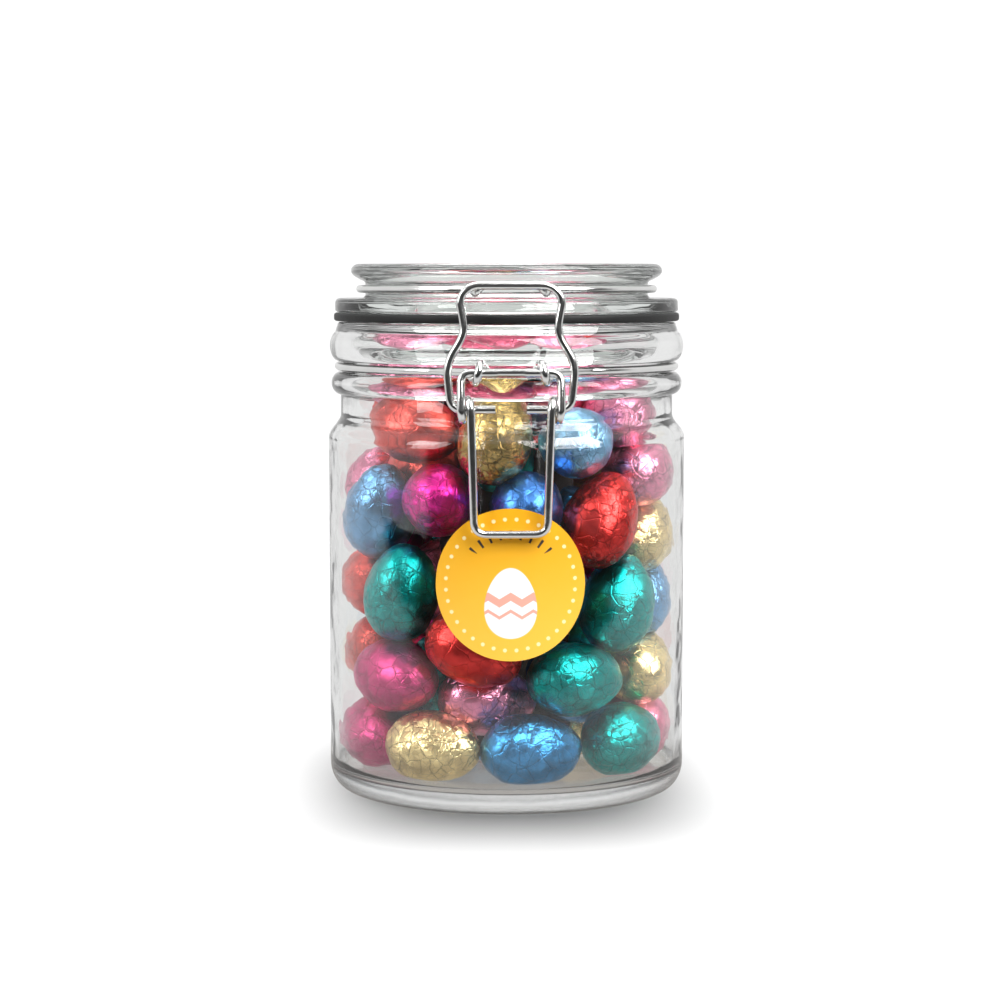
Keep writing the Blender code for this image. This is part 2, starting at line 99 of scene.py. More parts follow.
def lathe(name, outline, turns):
    # one vertex is drawn along the outline, then the line is spun about the jar's axis
    deselectAll()
    bpy.ops.mesh.primitive_plane_add(size=mm, location=(0, 0, 0))
    piece = bpy.context.object
    piece.name = name
    bpy.ops.object.mode_set(mode="EDIT")
    bpy.ops.mesh.select_all(action="SELECT")
    bpy.ops.mesh.merge(type="CENTER")
    first = Vector((outline[0][0], 0, outline[0][1])) * mm
    bpy.ops.transform.translate(value=first)
    for here, there in zip(outline, outline[1:]):
        step = Vector((there[0] - here[0], 0, there[1] - here[1])) * mm
        bpy.ops.mesh.extrude_vertices_move(TRANSFORM_OT_translate={"value": step})
    if outline[0][0] > 0:
        bpy.ops.mesh.select_all(action="SELECT")
        bpy.ops.mesh.edge_face_add()
        bpy.ops.mesh.delete(type="ONLY_FACE")
    bpy.ops.mesh.select_all(action="SELECT")
    bpy.ops.mesh.spin(steps=turns, angle=math.tau, use_auto_merge=False,
                      center=(0, 0, 0), axis=(0, 0, 1))
    bpy.ops.mesh.select_all(action="SELECT")
    bpy.ops.mesh.remove_doubles(threshold=0.00002)
    bpy.ops.mesh.normals_make_consistent(inside=False)
    bpy.ops.object.mode_set(mode="OBJECT")
    return piece


def arc(centreR, centreZ, reachR, reachZ, start, end, steps):
    points = []
    for step in range(steps + 1):
        angle = math.radians(start + (end - start) * step / steps)
        points.append((centreR + reachR * math.cos(angle), centreZ + reachZ * math.sin(angle)))
    return points


def easeBetween(low, high, steps):
    points = []
    for step in range(steps + 1):
        part = step / steps
        ease = part * part * (3 - 2 * part)
        points.append((low[0] + (high[0] - low[0]) * ease, low[1] + (high[1] - low[1]) * part))
    return points


# shader maths written as Python

class Val:
    def __init__(self, tree, socket):
        self.tree = tree
        self.socket = socket

    def maths(self, operation, *others):
        return self.tree.node("ShaderNodeMath", {"operation": operation}, [self, *others])

    def __add__(self, other):
        return self.maths("ADD", other)

    def __radd__(self, other):
        return self.maths("ADD", other)

    def __sub__(self, other):
        return self.maths("SUBTRACT", other)

    def __rsub__(self, other):
        return self.tree.node("ShaderNodeMath", {"operation": "SUBTRACT"}, [other, self])

    def __mul__(self, other):
        return self.maths("MULTIPLY", other)

    def __rmul__(self, other):
        return self.maths("MULTIPLY", other)

    def __truediv__(self, other):
        return self.maths("DIVIDE", other)

    def __neg__(self):
        return self.maths("MULTIPLY", -1)

    def __abs__(self):
        return self.maths("ABSOLUTE")

    def low(self, other):
        return self.maths("MINIMUM", other)

    def power(self, other):
        return self.maths("POWER", other)

    def ramp(self, low, high):
        # 0 below low, 1 above high, smooth between
        return self.tree.node("ShaderNodeMapRange", {"interpolation_type": "SMOOTHSTEP"},
                              {"Value": self, "From Min": low, "From Max": high})


class Nodes:
    def __init__(self, tree):
        self.nodes = tree.nodes
        self.links = tree.links

    def node(self, kind, settings=None, inputs=(), out=0):
        made = self.nodes.new(kind)
        for key, value in (settings or {}).items():
            setattr(made, key, value)
        pairs = inputs.items() if isinstance(inputs, dict) else enumerate(inputs)
        for key, value in pairs:
            self.plug(value, made.inputs[key])
        return Val(self, made.outputs[out])

    def plug(self, value, socket):
        if isinstance(value, Val):
            self.links.new(value.socket, socket)
        elif value is not None:
            socket.default_value = value

    def place(self):
        return self.node("ShaderNodeTexCoord", out="Object")

    def uv(self):
        return self.node("ShaderNodeTexCoord", out="UV")

    def split(self, vector):
        parts = self.node("ShaderNodeSeparateXYZ", inputs=[vector])
        return [Val(self, socket) for socket in parts.socket.node.outputs]

    def noise(self, vector, scale, detail=2.0, rough=0.5, out="Fac"):
        given = {"Vector": vector, "Scale": scale, "Detail": detail, "Roughness": rough}
        return self.node("ShaderNodeTexNoise", {}, given, out)

    def cells(self, vector, scale, feature="F1", out="Distance"):
        given = {"Vector": vector, "Scale": scale}
        return self.node("ShaderNodeTexVoronoi", {"feature": feature}, given, out)

    def facets(self, vector, scale):
        # flat cells, each tilted its own way: height in the vector's own units
        cell = self.cells(vector, scale, out="Color")
        tilt = self.vector("SUBTRACT", cell, (0.5, 0.5, 0.5))
        apart = self.vector("SUBTRACT", vector, Val(self, cell.socket.node.outputs["Position"]))
        return self.node("ShaderNodeVectorMath", {"operation": "DOT_PRODUCT"}, [tilt, apart],
                         "Value")

    def mix(self, factor, first, second):
        made = self.nodes.new("ShaderNodeMix")
        made.data_type = "RGBA"
        self.plug(factor, made.inputs[0])
        self.plug(first, made.inputs[6])
        self.plug(second, made.inputs[7])
        return Val(self, made.outputs[2])

    def vector(self, operation, first, second=None, scale=None):
        given = {0: first, 1: second} if scale is None else {0: first, "Scale": scale}
        return self.node("ShaderNodeVectorMath", {"operation": operation}, given)

    def bump(self, height, strength, distance):
        given = {"Strength": strength, "Distance": distance, "Height": height}
        return self.node("ShaderNodeBump", {}, given)


class Finish(Nodes):
    def __init__(self, name):
        self.material = bpy.data.materials.new(name)
        self.material.use_nodes = True
        super().__init__(self.material.node_tree)
        self.shader = self.nodes["Principled BSDF"]
        self.output = self.nodes["Material Output"]

    def set(self, **values):
        for key, value in values.items():
            self.plug(value, self.shader.inputs[key.replace("_", " ")])
        return self


print("stage: glass")

# heights and radii in millimetres, from the foot up
jarGlass = {
    "bodyR": 50.0, "footW": 5.0, "footH": 7.0, "pushUp": 0.8, "pushUpR": 32, "standR": 37,
    "floorZ": 5.6, "innerR": 48.0, "corner": 4.0, "shoulderZ": 99.0, "innerShoulderZ": 98.0,
    "neckR": 46.6, "neckZ": 105.3, "innerNeckR": 43.4, "innerNeckZ": 106.0, "throatZ": 127.0,
    "mouthR": 40.0, "mouthZ": 129.5, "beadZ": 114.0, "beadOut": 2.6, "beadHalf": 3.1,
    "grooveR": 45.7, "grooveZ": 118.7, "grooveHalf": 1.5, "bandZ": 124.4, "bandR": 49.6,
    "bandBulge": 2.4, "bandHalf": 4.2, "bandFrom": -75, "bandTo": 68, "rimZ": 131.0, "rimR": 47.5,
    "rimRound": 0.8, "rimEdge": 1.4, "turns": 160, "tint": (0.965, 0.970, 0.965, 1),
    "shade": (0.90, 0.92, 0.91, 1), "ior": 1.5, "gloss": 0.4, "haze": 0.22,
}
# blown and pressed glass is never quite even, and the jar's foot is a little cloudy
glassRipple = {
    "scale": 38, "fineScale": 150, "fineShare": 0.25, "strength": 0.12, "depth": 0.002,
    "hazeFrom": 0.009, "hazeFull": 0.004,
}


def clearGlass(name, given):
    g = glassRipple
    made = Finish(name)
    place = made.place()
    ripple = made.noise(place, g["scale"], 2.0, 0.5)
    fine = made.noise(place, g["fineScale"], 1.0, 0.5)
    _, _, up = made.split(place)
    haze = (1 - up.ramp(g["hazeFull"], g["hazeFrom"])) * given["haze"]
    made.set(Base_Color=given["tint"], Roughness=haze, IOR=given["ior"], Transmission_Weight=1.0,
             Specular_IOR_Level=given["gloss"])
    made.set(Normal=made.bump(ripple + fine * g["fineShare"], g["strength"], g["depth"]))
    # lamps reach what is inside
    path = made.node("ShaderNodeLightPath", out="Is Shadow Ray")
    clear = made.node("ShaderNodeBsdfTransparent", {}, {"Color": given["shade"]})
    both = made.node("ShaderNodeMixShader", {}, [path, None, clear])
    made.links.new(made.shader.outputs[0], both.socket.node.inputs[1])
    made.links.new(both.socket, made.output.inputs["Surface"])
    return made.material


def makeJar():
    g = jarGlass
    high, low = (g["pushUpR"], g["pushUp"]), (g["standR"], 0)
    foot = [(0, g["pushUp"]), high] + easeBetween(high, low, 4)[1:]
    foot += arc(g["bodyR"] - g["footW"], g["footH"], g["footW"], g["footH"], -90, 0, 14)
    shoulder = easeBetween((g["bodyR"], g["shoulderZ"]), (g["neckR"], g["neckZ"]), 10)
    bead = arc(g["neckR"], g["beadZ"], g["beadOut"], g["beadHalf"], -90, 90, 12)
    groove = [(g["grooveR"], g["grooveZ"] - g["grooveHalf"]),
              (g["grooveR"], g["grooveZ"] + g["grooveHalf"])]
    band = arc(g["bandR"] - g["bandBulge"], g["bandZ"], g["bandBulge"], g["bandHalf"],
               g["bandFrom"], g["bandTo"], 14)
    small, edge = g["rimRound"], g["rimEdge"]
    rim = arc(g["rimR"] - small, g["rimZ"] - small, small, small, 0, 90, 4)
    rim += arc(g["mouthR"] + edge, g["rimZ"] - edge, edge, edge, 90, 180, 6)
    inner = easeBetween((g["mouthR"], g["mouthZ"]), (g["innerNeckR"], g["throatZ"]), 10)
    inner += easeBetween((g["innerNeckR"], g["innerNeckZ"]), (g["innerR"], g["innerShoulderZ"]), 10)
    corner = arc(g["innerR"] - g["corner"], g["floorZ"] + g["corner"], g["corner"], g["corner"],
                 0, -90, 12)
    piece = lathe("jarGlass", foot + shoulder + bead + groove + band + rim + inner + corner
                  + [(0, g["floorZ"])], g["turns"])
    settle(piece, 50)
    dress(piece, clearGlass("clearJarGlass", g))
    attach(piece, "jar")
    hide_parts("jar_glass")


makeJar()

lidGlass = {
    "under": 133.9, "flangeR": 48.1, "flangeH": 3.8, "flangeLip": 0.6, "flangeRound": 1.4,
    "neckR": 39.6, "neckRound": 1.2, "wireZ": 140.2, "topZ": 147.2, "rimR": 43.6, "rimW": 2.2,
    "rimHalf": 1.9, "plugR": 37.5, "plugZ": 128.0, "plugWall": 3.2, "plugRound": 1.5,
    "plugChamfer": 1.4, "plugFlare": 0.4, "waistStep": 0.05,
    "hollowR": 33.4, "hollowZ": 132.4, "webUnder": 139.2, "webTop": 144.2, "dishEdge": 5.6,
    "dishRound": 1.8, "dishDrop": 1.2, "dishFrom": 8.0, "dishTo": 12, "dishRise": 1.4,
    "turns": 160, "tint": (0.87, 0.90, 0.88, 1), "shade": (0.86, 0.88, 0.87, 1), "ior": 1.5,
    "gloss": 0.5, "haze": 0.0,
}


def makeLid():
    g = lidGlass
    top = g["under"] + g["flangeH"]
    deep = g["webUnder"] - g["hollowZ"]
    hollow = [(0, g["webUnder"])] + arc(g["hollowR"] - deep, g["hollowZ"], deep, deep, 90, 0, 10)
    bend = g["plugRound"]
    plug = [(g["plugR"] - g["plugWall"], g["plugZ"] + g["plugChamfer"])]
    plug += arc(g["plugR"] - bend, g["plugZ"] + bend, bend, bend, -150, 0, 8)
    lip, bend = g["flangeLip"], g["flangeRound"]
    flange = [(g["plugR"] + g["plugFlare"], g["under"]), (g["flangeR"] - lip, g["under"])]
    flange += arc(g["flangeR"] - lip, g["under"] + lip, lip, lip, -75, 0, 4)
    flange += arc(g["flangeR"] - bend, top - bend, bend, bend, 0, 90, 8)
    bend = g["neckRound"]
    waist = g["neckR"] + bend
    foot = top + g["waistStep"]
    neck = [(waist, foot)] + arc(waist, foot + bend, bend, bend, -90, -180, 5)
    neck += arc(waist, g["wireZ"] + bend, bend, bend, 180, 90, 4)
    rim = arc(g["rimR"] - g["rimW"], g["topZ"] - g["rimHalf"], g["rimW"], g["rimHalf"], -60, 90, 14)
    dish = arc(g["rimR"] - g["dishEdge"], g["topZ"] - g["dishDrop"], g["dishRound"], g["dishDrop"],
               90, 160, 4)
    dish += easeBetween((g["rimR"] - g["dishFrom"], g["webTop"] + g["dishRise"]),
                        (g["rimR"] - g["dishTo"], g["webTop"]), 6)[1:]
    piece = lathe("lidGlass", hollow + plug + flange + neck + rim + dish + [(0, g["webTop"])],
                  g["turns"])
    settle(piece, 50)
    dress(piece, clearGlass("clearLidGlass", g))
    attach(piece, "lid")
    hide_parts("lid_glass")


makeLid()

print("stage: rubber seal")

sealRubber = {
    "outR": 48.4, "inR": 41.0, "lowZ": 131.3, "thick": 2.3, "edge": 0.7, "turns": 128,
    "black": (0.004, 0.004, 0.004, 1), "dusty": (0.012, 0.012, 0.012, 1), "grain": 900,
    "rough": 0.45, "roughMore": 0.2, "gloss": 0.3, "grainBump": 0.3, "grainDepth": 0.0003,
}


def makeSeal():
    g = sealRubber
    high, edge = g["lowZ"] + g["thick"], g["edge"]
    outline = [(g["inR"], g["lowZ"])]
    outline += arc(g["outR"] - edge, g["lowZ"] + edge, edge, edge, -90, 0, 4)
    outline += arc(g["outR"] - edge, high - edge, edge, edge, 0, 90, 4)
    outline += [(g["inR"], high)]
    piece = lathe("rubberSeal", outline, g["turns"])
    settle(piece)
    made = Finish("blackRubber")
    grain = made.noise(made.place(), g["grain"], 3.0, 0.6)
    made.set(Base_Color=made.mix(grain, g["black"], g["dusty"]), Specular_IOR_Level=g["gloss"],
             Roughness=g["rough"] + grain * g["roughMore"])
    made.set(Normal=made.bump(grain, g["grainBump"], g["grainDepth"]))
    dress(piece, made.material)
    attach(piece, "lid")
    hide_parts("gasket")


makeSeal()

print("stage: wires")

# in millimetres from the jar's axis and foot; the clasp is at -Y and the hinge at +Y
wire = {
    "r": 1.1, "eyeR": 2.7, "eyeX": 8.6, "pitch": 2.6, "pivotY": 53.7, "pivotZ": 118.7,
    "neckR": 47.2, "neckFrom": 26.5, "neckSteps": 22, "eyeFrom": 40, "eyeTo": 320,
    "eyeLeadIn": 1.0, "eyeLeadOut": 1.2, "eyeOffset": 0.1,
    "lidR": 41.1, "lidZ": 140.2, "lidFrom": 22.5, "lidSteps": 63,
    "lipX": 7.6, "lipY": -50.3, "lipZ": 141.4, "lipBackX": 9.2, "lipBack": 0.6, "lipDown": 2.0,
    "lipEndX": 10.6, "lipEndY": -39.7, "legX": 12.6, "legTopY": 39.2, "legIn": 0.8, "legDown": 0.5,
    "pinY": -53.0, "pinZ": 109.0, "pinEndX": 3.6, "armX": 13.1, "coilSteps": 36, "handleX": 10.5,
    "handleLowX": 9.6, "handleY": -52.3, "handleZ": 76.2,
    "linkEndX": 4.1, "linkElbowX": 15.7, "linkWideX": 16.9, "linkWideZ": 121.0, "linkWaistX": 11.9,
    "linkWaistZ": 129.2, "linkWaistOut": 0.1, "linkTopX": 13.6, "linkCorner": 3.2, "linkGap": 0.3,
    "neckBend": 3.0, "lidBend": 2.4, "armBend": 2.8, "handleBend": 3.4, "linkBend": 3.4,
    "bright": (0.84, 0.84, 0.83, 1), "dull": (0.70, 0.70, 0.69, 1), "drawn": 420, "blotch": 90,
    "rough": 0.10, "roughMore": 0.14, "blotchShare": 0.5, "strength": 0.10, "depth": 0.0004,
}


def bent(corners, reach, steps=8):
    points = [corners[0]]
    for before, corner, after in zip(corners, corners[1:], corners[2:]):
        back = before - corner
        ahead = after - corner
        bend = min(reach, back.length * 0.48, ahead.length * 0.48)
        start = corner + back.normalized() * bend
        end = corner + ahead.normalized() * bend
        for step in range(steps + 1):
            part = step / steps
            left = 1 - part
            points.append(start * left ** 2 + corner * (2 * part * left) + end * part ** 2)
    points.append(corners[-1])
    return points


def turnOfWire(centreY, centreZ, radius, start, end, steps, xFrom, xTo):
    points = []
    for step in range(steps + 1):
        part = step / steps
        turn = math.radians(start + (end - start) * part)
        points.append(Vector((xFrom + (xTo - xFrom) * part, centreY + radius * math.cos(turn),
                              centreZ + radius * math.sin(turn))))
    return points


def mirrored(points, axis):
    sign = Vector((-1, 1, 1)) if axis == "X" else Vector((1, -1, 1))
    return [point * sign for point in reversed(points)]


def steelWire():
    g = wire
    made = Finish("drawnSteelWire")
    place = made.place()
    drawn = made.noise(place, g["drawn"], 3.0, 0.6)
    blotch = made.noise(place, g["blotch"], 2.0, 0.5)
    made.set(Base_Color=made.mix(blotch, g["dull"], g["bright"]), Metallic=1.0,
             Roughness=g["rough"] + drawn * g["roughMore"])
    made.set(Normal=made.bump(drawn + blotch * g["blotchShare"], g["strength"], g["depth"]))
    return made.material


def tube(name, points, closed=False):
    curve = bpy.data.curves.new(name, "CURVE")
    curve.dimensions = "3D"
    curve.bevel_depth = wire["r"] * mm
    curve.bevel_resolution = 5
    curve.use_fill_caps = True
    spline = curve.splines.new("POLY")
    spline.points.add(len(points) - 1)
    for target, point in zip(spline.points, points):
        target.co = (*(point * mm), 1)
    spline.use_cyclic_u = closed
    piece = bpy.data.objects.new(name, curve)
    bpy.context.scene.collection.objects.link(piece)
    focusOn(piece)
    bpy.ops.object.convert(target="MESH")
    piece = bpy.context.object
    bpy.ops.object.mode_set(mode="EDIT")
    bpy.ops.mesh.select_all(action="SELECT")
    bpy.ops.mesh.remove_doubles(threshold=0.000005)
    bpy.ops.mesh.normals_make_consistent(inside=False)
    bpy.ops.object.mode_set(mode="OBJECT")
    return settle(piece, 50)


def neckWirePath():
    w = wire
    behind = -w["pivotY"] + w["eyeR"]
    inner = w["eyeX"] - w["pitch"] / 2
    outer = w["eyeX"] + w["pitch"] / 2
    side = Vector((w["neckR"], 0, w["pivotZ"]))
    rough = [Vector((0, behind, w["pivotZ"])), Vector((inner - w["eyeLeadIn"], behind, w["pivotZ"]))]
    rough += turnOfWire(-w["pivotY"], w["pivotZ"], w["eyeR"], w["eyeFrom"], w["eyeTo"], 7,
                        inner, outer)
    rough.append(Vector((outer + w["eyeLeadOut"], behind + w["eyeOffset"], w["pivotZ"])))
    for index in range(w["neckSteps"]):
        turn = math.radians(w["neckFrom"] + index * (90 - w["neckFrom"]) / w["neckSteps"])
        across, deep = w["neckR"] * math.sin(turn), -w["neckR"] * math.cos(turn)
        rough.append(Vector((across, deep, w["pivotZ"])))
    quarter = bent(rough + [side], w["neckBend"], 5)[1:-1]
    half = quarter + [side] + mirrored(quarter, "Y")
    return half + mirrored(half, "X")


def lidWirePath():
    w = wire
    lip = [Vector((0, w["lipY"], w["lipZ"])), Vector((w["lipX"], w["lipY"], w["lipZ"])),
           Vector((w["lipBackX"], w["lipY"] + w["lipBack"], w["lipZ"] - w["lipDown"])),
           Vector((w["lipEndX"], w["lipEndY"], w["lidZ"]))]
    ring = []
    for index in range(w["lidSteps"] + 1):
        turn = math.radians(w["lidFrom"] + index * (180 - 2 * w["lidFrom"]) / w["lidSteps"])
        ring.append(Vector((w["lidR"] * math.sin(turn), -w["lidR"] * math.cos(turn), w["lidZ"])))
    leg = [Vector((w["legX"], w["legTopY"], w["lidZ"])),
           Vector((w["legX"], w["pivotY"] - w["legIn"], w["lidZ"] - w["legDown"])),
           Vector((w["legX"], w["pivotY"], w["pivotZ"])),
           Vector((w["pinEndX"], w["pivotY"], w["pivotZ"]))]
    front = bent(lip + ring[:1], w["lidBend"])
    back = bent(ring[-1:] + leg, w["lidBend"])
    half = front[1:-1] + ring + back[1:]
    return mirrored(half, "X") + half


def leverPath():
    w = wire
    coil = turnOfWire(w["pinY"], w["pinZ"], w["eyeR"], 180, 540, w["coilSteps"],
                      w["armX"], w["handleX"])
    arm = [Vector((w["pinEndX"], -w["pivotY"], w["pivotZ"])),
           Vector((w["armX"], -w["pivotY"], w["pivotZ"])), coil[0]]
    handle = [coil[-1], Vector((w["handleLowX"], w["handleY"], w["handleZ"])),
              Vector((0, w["handleY"], w["handleZ"]))]
    half = bent(arm, w["armBend"])[:-1] + coil + bent(handle, w["handleBend"])[1:-1]
    return half + mirrored(half, "X")


def linkPath():
    w = wire
    # the top bar stands just in front of the lid wire's lip
    topY = w["lipY"] - 2 * w["r"] - w["linkGap"]
    corners = [(w["linkEndX"], w["pinY"], w["pinZ"]), (w["linkElbowX"], w["pinY"], w["pinZ"]),
               (w["linkWideX"], w["pinY"], w["linkWideZ"]),
               (w["linkWaistX"], topY - w["linkWaistOut"], w["linkWaistZ"]),
               (w["linkTopX"], topY, w["lipZ"] - w["linkCorner"]),
               (w["linkTopX"] - w["linkCorner"], topY, w["lipZ"]), (0, topY, w["lipZ"])]
    path = bent([Vector(corner) for corner in corners], w["linkBend"])[:-1]
    return path + mirrored(path, "X")


def makeWires():
    finish = steelWire()
    for name, points, closed, body, node in (
            ("neckWire", neckWirePath(), True, "jar", "neck_ring"),
            ("lidWire", lidWirePath(), False, "lid", "lid_ring"),
            ("leverWire", leverPath(), False, "lever", "lever"),
            ("linkWire", linkPath(), False, "link", "link")):
        piece = tube(name, points, closed)
        dress(piece, finish)
        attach(piece, body)
        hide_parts(node)


makeWires()

print("stage: sticker")

# the printed pattern's sizes are shares of the sticker's radius: a ring of pale dots, a row of short
# stitches inside it, and an egg with a zigzag band and a thin line below that
sticker = {
    "r": 20.3, "z": 62.6, "onR": 50.3, "thick": 0.2, "turns": 96, "insets": 5, "insetShare": 0.17,
    "yellow": (0.82, 0.39, 0.01, 1), "paleYellow": (0.88, 0.50, 0.06, 1),
    "dots": (0.95, 0.76, 0.38, 1), "ink": (0.045, 0.04, 0.035, 1),
    "white": (0.86, 0.85, 0.84, 1), "pink": (0.86, 0.38, 0.30, 1),
    "rough": 0.34, "roughMore": 0.1, "gloss": 0.3, "coat": 0.15, "coatRough": 0.12,
    "grain": 260, "grainBump": 0.05, "grainDepth": 0.0002,
    "dotCount": 36, "dotRing": 0.86, "dotR": (0.022, 0.030),
    "stitchCount": 30, "stitchRing": 0.66, "stitchLong": (0.055, 0.065),
    "stitchWide": (0.020, 0.030), "stitchLow": (0.20, 0.22), "stitchFlare": 0.45,
    "eggDown": 0.24, "eggTaper": 0.35, "eggWide": 0.115, "eggTall": 0.215, "eggEdge": (0.96, 1.04),
    "zigzags": 3.4, "zigzagH": 0.18, "bandH": (0.05, 0.06), "lineDown": 0.19,
    "lineH": (0.018, 0.028), "paleTowardsBottom": 0.5, "paleTowardsBottomGrain": 0.1,
}


def stickerPaper():
    g = sticker
    made = Finish("stickerPaper")
    across, up, _ = made.split(made.uv())
    # the UV map holds the flat sticker, from -1 to 1
    ring = (across * across + up * up).power(0.5)
    turn = up.maths("ARCTAN2", across)
    eggY = up + g["eggDown"]
    eggX = across * (1.0 + eggY * g["eggTaper"])
    egg = 1 - (eggX * eggX / g["eggWide"] + eggY * eggY / g["eggTall"]).ramp(*g["eggEdge"])
    zigzag = abs((across * g["zigzags"]).maths("FRACT") - 0.5) * g["zigzagH"]
    band = 1 - abs(eggY - zigzag).ramp(*g["bandH"])
    lower = 1 - abs(eggY - zigzag + g["lineDown"]).ramp(*g["lineH"])
    dotTurn = math.tau / g["dotCount"]
    dotAcross = ((turn * (1 / dotTurn)).maths("FRACT") - 0.5) * dotTurn * g["dotRing"]
    dotUp = ring - g["dotRing"]
    dots = 1 - (dotAcross * dotAcross + dotUp * dotUp).power(0.5).ramp(*g["dotR"])
    stitchTurn = math.tau / g["stitchCount"]
    stitchAcross = abs((turn * (1 / stitchTurn)).maths("FRACT") - 0.5) * stitchTurn
    stitches = 1 - abs(ring - g["stitchRing"]).ramp(*g["stitchLong"])
    stitches = stitches * (1 - stitchAcross.ramp(*g["stitchWide"]))
    stitches = stitches * (up - abs(across) * g["stitchFlare"]).ramp(*g["stitchLow"])
    grain = made.noise(made.place(), g["grain"], 3.0, 0.5)
    # the paper is more orange at the top and paler towards the bottom, broken a little by its grain
    paleTowardsBottom = (0.5 - up * g["paleTowardsBottom"] + (grain - 0.5) * g["paleTowardsBottomGrain"]).ramp(0.0, 1.0)
    paper = made.mix(paleTowardsBottom, g["yellow"], g["paleYellow"])
    paper = made.mix(dots, paper, g["dots"])
    paper = made.mix(stitches, paper, g["ink"])
    shell = made.mix(band, g["white"], g["pink"])
    shell = made.mix(lower, shell, g["pink"])
    made.set(Base_Color=made.mix(egg, paper, shell), Roughness=g["rough"] + grain * g["roughMore"],
             Specular_IOR_Level=g["gloss"], Coat_Weight=g["coat"], Coat_Roughness=g["coatRough"])
    made.set(Normal=made.bump(grain, g["grainBump"], g["grainDepth"]))
    return made.material


def makeSticker():
    g = sticker
    flatR, onR = g["r"] * mm, g["onR"] * mm
    deselectAll()
    bpy.ops.mesh.primitive_circle_add(vertices=g["turns"], radius=flatR, fill_type="NGON")
    piece = bpy.context.object
    piece.name = "sticker"
    bpy.ops.object.mode_set(mode="EDIT")
    bpy.ops.mesh.select_all(action="SELECT")
    for ring in range(g["insets"]):
        bpy.ops.mesh.inset(thickness=flatR * g["insetShare"])
    bpy.ops.mesh.poke()
    bpy.ops.mesh.select_all(action="SELECT")
    bpy.ops.uv.reset()
    bpy.ops.object.mode_set(mode="OBJECT")
    uvs = piece.data.uv_layers.active.data
    for loop in piece.data.loops:
        flat = piece.data.vertices[loop.vertex_index].co
        uvs[loop.index].uv = (flat.x / flatR, flat.y / flatR)
    for vert in piece.data.vertices:
        turn = vert.co.x / onR
        vert.co = Vector((onR * math.sin(turn), -onR * math.cos(turn), g["z"] * mm + vert.co.y))
    focusOn(piece)
    solid = piece.modifiers.new("paperThickness", "SOLIDIFY")
    solid.thickness = g["thick"] * mm
    solid.offset = 1.0
    bpy.ops.object.modifier_apply(modifier=solid.name)
    settle(piece)
    dress(piece, stickerPaper())
    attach(piece, "jar")
    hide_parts("label")


makeSticker()

print("stage: eggs")

# sizes in millimetres, then how the heap is laid out and how it settles
eggs = {
    "halfLength": 13.8, "r": 9.9, "blunt": 0.10, "around": 56, "along": 36,
    "dentScale": 2.2, "dent": 0.45, "fineScale": 6.0, "fineDent": 0.20, "dentMost": 0.18,
    "dentShift": (7.3, 3.1, 5.7),
    "wallGap": 0.6, "floorGap": 0.4, "heapTop": 126.6, "courses": 6, "courseH": 17.8,
    "courseTurn": 9, "liftSpread": 2, "backTurns": (132, 170, 208, 246), "backSpread": 5,
    "backLean": 70, "inside": 3, "insideDepth": 21, "insideTurn": 50, "insideSpread": 10,
    "insideLean": 60, "seed": 7, "settleSteps": 400, "press": 0.8, "push": 0.16, "sink": 0.05,
    "hold": 0.25,
}

# colour of each foil, how dull it is, and how crinkled
foils = {
    "gold": {"base": (0.93, 0.71, 0.34), "rough": 0.20, "crinkle": 1.0},
    # the darker gold below is painted shade: a copy of gold for the top egg in the shade of the lid's
    # ring
    "shadedGold": {"base": (0.56, 0.39, 0.14), "rough": 0.16, "crinkle": 1.0},
    "blue": {"base": (0.04, 0.27, 0.56), "rough": 0.20, "crinkle": 0.7},
    "steelBlue": {"base": (0.15, 0.36, 0.62), "rough": 0.24, "crinkle": 0.7},
    "paleBlue": {"base": (0.28, 0.55, 0.82), "rough": 0.24, "crinkle": 0.5},
    "teal": {"base": (0.0, 0.36, 0.34), "rough": 0.24, "crinkle": 0.9},
    "red": {"base": (0.74, 0.045, 0.04), "rough": 0.25, "crinkle": 1.1},
    "coral": {"base": (0.74, 0.09, 0.07), "rough": 0.26, "crinkle": 0.7},
    "magenta": {"base": (0.82, 0.02, 0.32), "rough": 0.22, "crinkle": 0.8},
    "dullMagenta": {"base": (0.60, 0.05, 0.20), "rough": 0.30, "crinkle": 0.5},
    "pink": {"base": (0.84, 0.25, 0.38), "rough": 0.26, "crinkle": 0.8},
    # the darker pink below is painted shade: a copy of pink for eggs heaped in the neck, in the shade
    # of the lid
    "shadedPink": {"base": (0.62, 0.11, 0.19), "rough": 0.22, "crinkle": 0.8},
    "mauve": {"base": (0.82, 0.27, 0.42), "rough": 0.20, "crinkle": 1.0},
    "deepBlue": {"base": (0.06, 0.22, 0.62), "rough": 0.22, "crinkle": 1.0},
}

